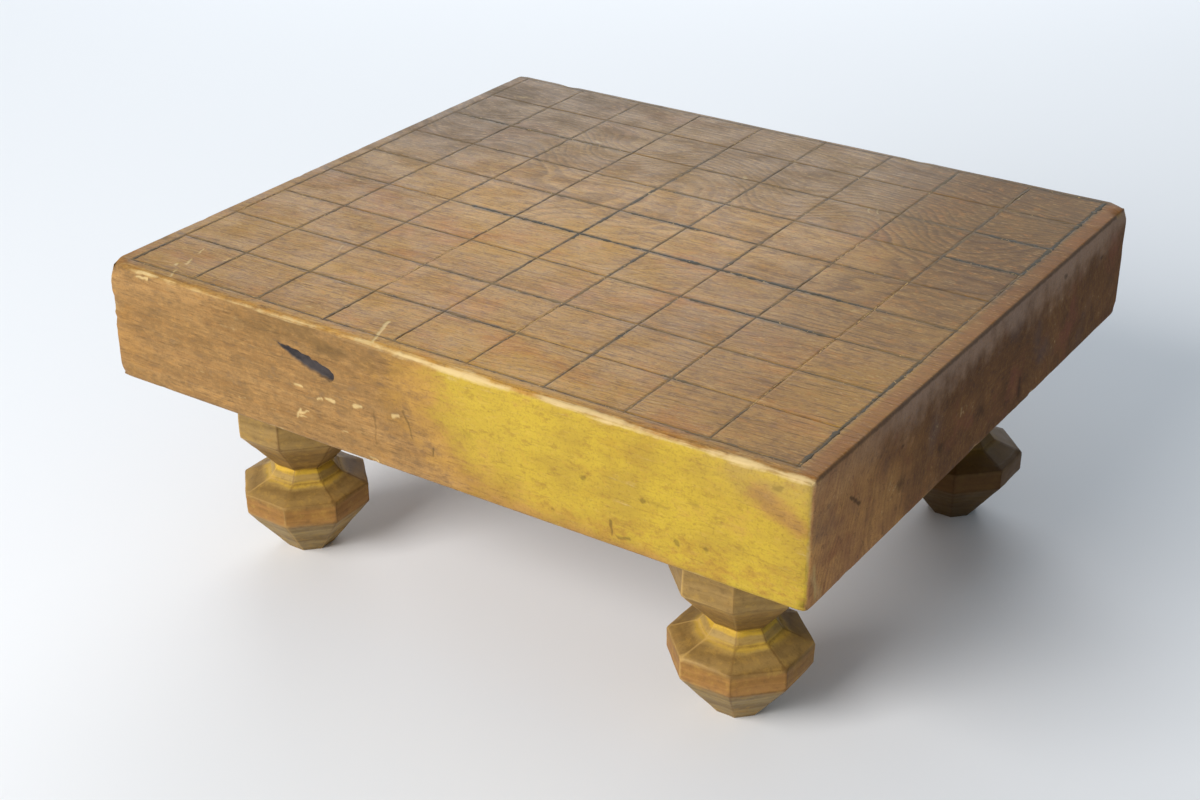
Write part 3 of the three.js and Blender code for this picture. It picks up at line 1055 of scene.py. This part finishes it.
worn_flat = lay.vector(strip_x, strip_y, strip_z.math("MINIMUM", ceiling))
strips = lay.add("GeometryNodeSetPosition", Geometry=strips, Position=worn_flat)
lay.close(strips, lay_material)

stroke_points, stroke_edges, stroke_halves, stroke_worn = [], [], [], []
for run, fixed_places, ends in (("along", line_ys, line_xs), ("across", line_xs, line_ys)):
    for number, fixed in enumerate(fixed_places):
        start, end = ends[0] - ink_overrun, ends[-1] + ink_overrun
        count = int((end - start) / ink_step)
        moving = np.linspace(start, end, count + 1)
        halves = boldness(run, number, moving)
        first = len(stroke_points)
        for here, half_here in zip(moving, halves):
            level = slab_high.z - half_here * ink_thickness_share - ink_sunk
            stroke_points.append((here, fixed, level) if run == "along" else (fixed, here, level))
        stroke_halves += list(halves)
        stroke_worn += list(np.clip((worn_start - halves / mm) / worn_span, 0, 1) * (run == "across"))
        stroke_edges += [(n, n + 1) for n in range(first, first + count)]
stroke_data = bpy.data.meshes.new("ink_strokes")
stroke_data.from_pydata(stroke_points, stroke_edges, [])
paint(stroke_data, "half_width", stroke_halves)
paint(stroke_data, "worn", stroke_worn)
paint(stroke_data, "bold", np.clip((np.array(stroke_halves) / mm - bold_start) / bold_span, 0, 1))
ink_lines = lay.make(stroke_data, "ink_lines")
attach(ink_lines, "board")
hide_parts("grid_lines")

# Legs: each is carved from one eight-sided blank, with a collar under the slab, a deep neck, a wide
# bulb and a small foot, and has a square tenon of its own. Knife-cut facets, ridges rubbed smooth.
leg_sides = 8
leg_inset = 0.1 * mm
leg_low, leg_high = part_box("leg_front_left")
blank_width = leg_high.x - leg_low.x - 2 * leg_inset
leg_height = slab_low.z
neck_width = 27 * mm
shoulder_width = 35 * mm
foot_width = 22.4 * mm - 2 * leg_inset
collar_share = 0.335
neck_share = 0.54
shoulder_share = 0.594
bulb_top_share = 0.648
bulb_bottom_share = 0.748
profile = [
    (blank_width, 0.0),
    (blank_width, collar_share),
    (neck_width, neck_share),
    (shoulder_width, shoulder_share),
    (blank_width, bulb_top_share),
    (blank_width, bulb_bottom_share),
    (foot_width, 1.0),
]

# The legs' wood lies in level layers. From the foot up, each part of the turning has two colours of
# its own, which fade in between two heights in millimetres.
layer_gap = 3.6 * mm
leg_wood = Finish("leg_wood")
leg_tilt = leg_wood.veins(14, 14, 8, 2.2, 2)
leg_quick = leg_wood.veins(60, 60, 120, 7.1, 3, 0.6)
leg_mottle = leg_wood.veins(70, 70, 70, 3.3, 4, 0.65)
leg_fibre = leg_wood.veins(60, 60, 700, 9.9, 3, 0.6)
leg_speck = leg_wood.veins(520, 520, 520, 5.5, 2, 0.7)
leg_blotch = leg_wood.veins(190, 190, 240, 6.1, 4, 0.7)
layer_place = leg_wood.z.ragged(leg_tilt, 16 * mm).ragged(leg_quick, 2.5 * mm)
layer_share = (layer_place / layer_gap).math("FRACT")
layer_line = layer_share.fade(0.2, 0.8) * layer_share.fade(0.84, 1.0, 1.0, 0.0)
layer_band = leg_wood.vector(z=layer_place * 130).clouds().fade(0.35, 0.65)
height = leg_wood.z.ragged(leg_mottle, 3 * mm)
shoulder_line = height.fade(40.0 * mm, 41.0 * mm) * height.fade(42.8 * mm, 41.8 * mm)
yellow_lines = height.fade(44.4 * mm, 45.6 * mm).math("MAXIMUM", shoulder_line * 0.6)
leg_colour = layer_band.tint("865f2b", "9f7340")
for start, full, bands, dark_layer, light_layer in (
    (27, 21.5, layer_band, "816941", "a28a5a"),
    (33, 37, layer_band, "7f6335", "9b7c48"),
    (39.2, 40.6, yellow_lines, "a5874a", "c9a235"),
    (46, 49, layer_band, "7d6037", "967341"),
    (62, 69, layer_band, "886c3d", "9d7f4c"),
):
    leg_colour = height.fade(start * mm, full * mm).tint(leg_colour, bands.tint(dark_layer, light_layer))
ridge = leg_wood.painted("ridge").ragged(leg_speck, 0.5)
ridge_colour = stained("5c3d1e", (leg_tilt, 0.45, 0.6, 1.0, "cda765"))
bare_wood = stained("bf9f6c", (leg_fibre, 0.3, 0.7, 1.0, "ab8852"))
# Painted shade: the back right leg is darkened where it stands in the slab's shadow
shaded_back_leg = leg_wood.x.fade(50 * mm, 80 * mm) * leg_wood.y.fade(40 * mm, 70 * mm)
leg_colour = stained(
    leg_colour,
    (layer_line * leg_wood.z.fade(60 * mm, 72 * mm, 0.2, 0.12), "5d4220"),
    (leg_fibre, 0.5, 0.75, 0.25, "5f4624"),
    (leg_blotch, 0.5, 0.68, 0.35, "b58f45"),
    (leg_blotch, 0.48, 0.3, 0.35, "614a2e"),
    (leg_mottle, 0.52, 0.75, 0.35, "b98a42"),
    (leg_speck, 0.55, 0.78, 0.25, "5a4020"),
    (ridge, 0.5, 1.0, 0.5, ridge_colour),
    (leg_wood.z, leg_height, leg_height + 0.2 * mm, 1.0, bare_wood),
    # painted shade on the back right leg
    (shaded_back_leg * 0.75, "402810"),
)
leg_relief = layer_line.onto(0.5, leg_fibre * 0.5)
leg_wood.dress(leg_colour, 0.14, leg_mottle.fade(0.3, 0.75, 0.48, 0.62), leg_relief, 0.12 * mm)

carve = Tree("carve_leg")
sides = carve.knob("Sides", leg_sides)
facet_points = carve.knob("Facet Points", 12)
row_step = carve.knob("Row Step", 0.9 * mm)
ridge_left = carve.knob("Ridge Left", 0.998)
cut_depth = carve.knob("Cut Unevenness", 2.6 * mm)
cut_size = carve.knob("Cut Size", 24 * mm)
tenon_width = carve.knob("Tenon Width", 24 * mm)
tenon_length = carve.knob("Tenon Length", leg_high.z - leg_height)
tenon_lead = carve.knob("Tenon Lead", 1.6 * mm)
tenon_root = carve.knob("Tenon Root", 5 * mm)
collar_z = carve.knob("Leg Height", leg_height)
carve_seed = carve.knob("Seed", 0.0)
carve_material = carve.knob("Material", leg_wood.material)

# A round turning of the profile, in fine rows, is pushed out to eight flats with rubbed ridges
ridge_softness = 0.008
cut_start, fine_cuts, fine_cut_share = 0.46, 5.0, 0.12
least_reach = 0.001
spine = carve.resampled(carve.add("GeometryNodeMeshToCurve", Mesh=carve.geometry), row_step)
round_section = carve.circle(sides * facet_points)
body = carve.swept(spine, round_section, carve.read("flat_width") * 0.5)
spot_x, spot_y, spot_z = carve.parts(carve.position())
one_facet = 2 * math.pi / sides
half_facet = one_facet * 0.5
turned = (spot_y.math("ARCTAN2", spot_x) + half_facet).math("FLOORED_MODULO", one_facet) - half_facet
ridge_limit = ridge_left / half_facet.math("COSINE")
to_flat = (1.0 / turned.math("COSINE")).math("SMOOTH_MIN", ridge_limit, ridge_softness)
cut_share = (carve.noise(1.0 / cut_size, carve_seed) - cut_start).math("MAXIMUM", 0.0) * cut_depth
cut_share = cut_share + carve.noise(fine_cuts / cut_size, carve_seed) * (cut_depth * fine_cut_share)
reach = (spot_x * spot_x + spot_y * spot_y).math("SQRT").math("MAXIMUM", least_reach)
grow = to_flat - cut_share / reach
shaped = carve.vector(spot_x * grow, spot_y * grow, spot_z)
body = carve.add("GeometryNodeSetPosition", Geometry=body, Position=shaped)

# The square tenon stands up out of the collar, with its end tapered to lead it in
tenon_end_z = collar_z + tenon_length
tenon_ends = {"Start": carve.vector(z=collar_z - tenon_root), "End": carve.vector(z=tenon_end_z)}
tenon_line = carve.resampled(carve.add("GeometryNodeCurvePrimitiveLine", **tenon_ends), row_step)
lead_in = (tenon_lead - (tenon_end_z - spot_z)).math("MAXIMUM", 0.0)
tenon_reach = (tenon_width * 0.5 - lead_in) * math.sqrt(2)
eighth_turn = carve.vector(z=math.pi / 4)
square = carve.add("GeometryNodeTransform", Geometry=carve.circle(4), Rotation=eighth_turn)
tenon = carve.swept(tenon_line, square, tenon_reach)
joined = carve.add("GeometryNodeMeshBoolean", {"operation": "UNION", "solver": "EXACT"}, Mesh_2=body)
carve.feed(joined.socket.node.inputs["Mesh 2"], tenon)
carve.close(joined, carve_material)

facet = 2 * math.pi / leg_sides
ridge_reach = 1.3 * mm
sharp_angle = math.radians(38)
ring_shares = (collar_share, shoulder_share, bulb_top_share, bulb_bottom_share)
ring_levels = [leg_height * (1 - share) for share in ring_shares]
leg_seeds = {"front_left": 2.0, "front_right": 7.0, "back_left": 11.0, "back_right": 16.0}
for name, seed in leg_seeds.items():
    node = "leg_" + name
    leg_low, leg_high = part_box(node)
    middle = (leg_low + leg_high) / 2
    spine_data = bpy.data.meshes.new(node + "_spine")
    heights = [(0, 0, leg_height * (1 - share)) for width, share in profile]
    spine_data.from_pydata(heights, [(n, n + 1) for n in range(len(heights) - 1)], [])
    paint(spine_data, "flat_width", [width for width, share in profile])
    carve.values["Seed"] = seed
    leg = carve.make(spine_data, "carved_" + node)
    leg_data = leg.data
    for polygon in leg_data.polygons:
        polygon.use_smooth = True
    leg_data.set_sharp_from_angle(angle=sharp_angle)
    leg_points = np.array([v.co for v in leg_data.vertices], float)
    turns = np.arctan2(leg_points[:, 1], leg_points[:, 0])
    off_corner = facet / 2 - np.abs((turns + facet / 2) % facet - facet / 2)
    off_corner *= np.hypot(leg_points[:, 0], leg_points[:, 1])
    off_ring = np.min([np.abs(leg_points[:, 2] - level) for level in ring_levels], axis=0)
    paint(leg_data, "ridge", close_to(np.minimum(off_corner, off_ring), ridge_reach))
    leg_points += np.array([middle.x, middle.y, 0])
    leg_data.vertices.foreach_set("co", leg_points.ravel())
    leg_data.update()
    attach(leg, name + "_leg")
    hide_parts(node)
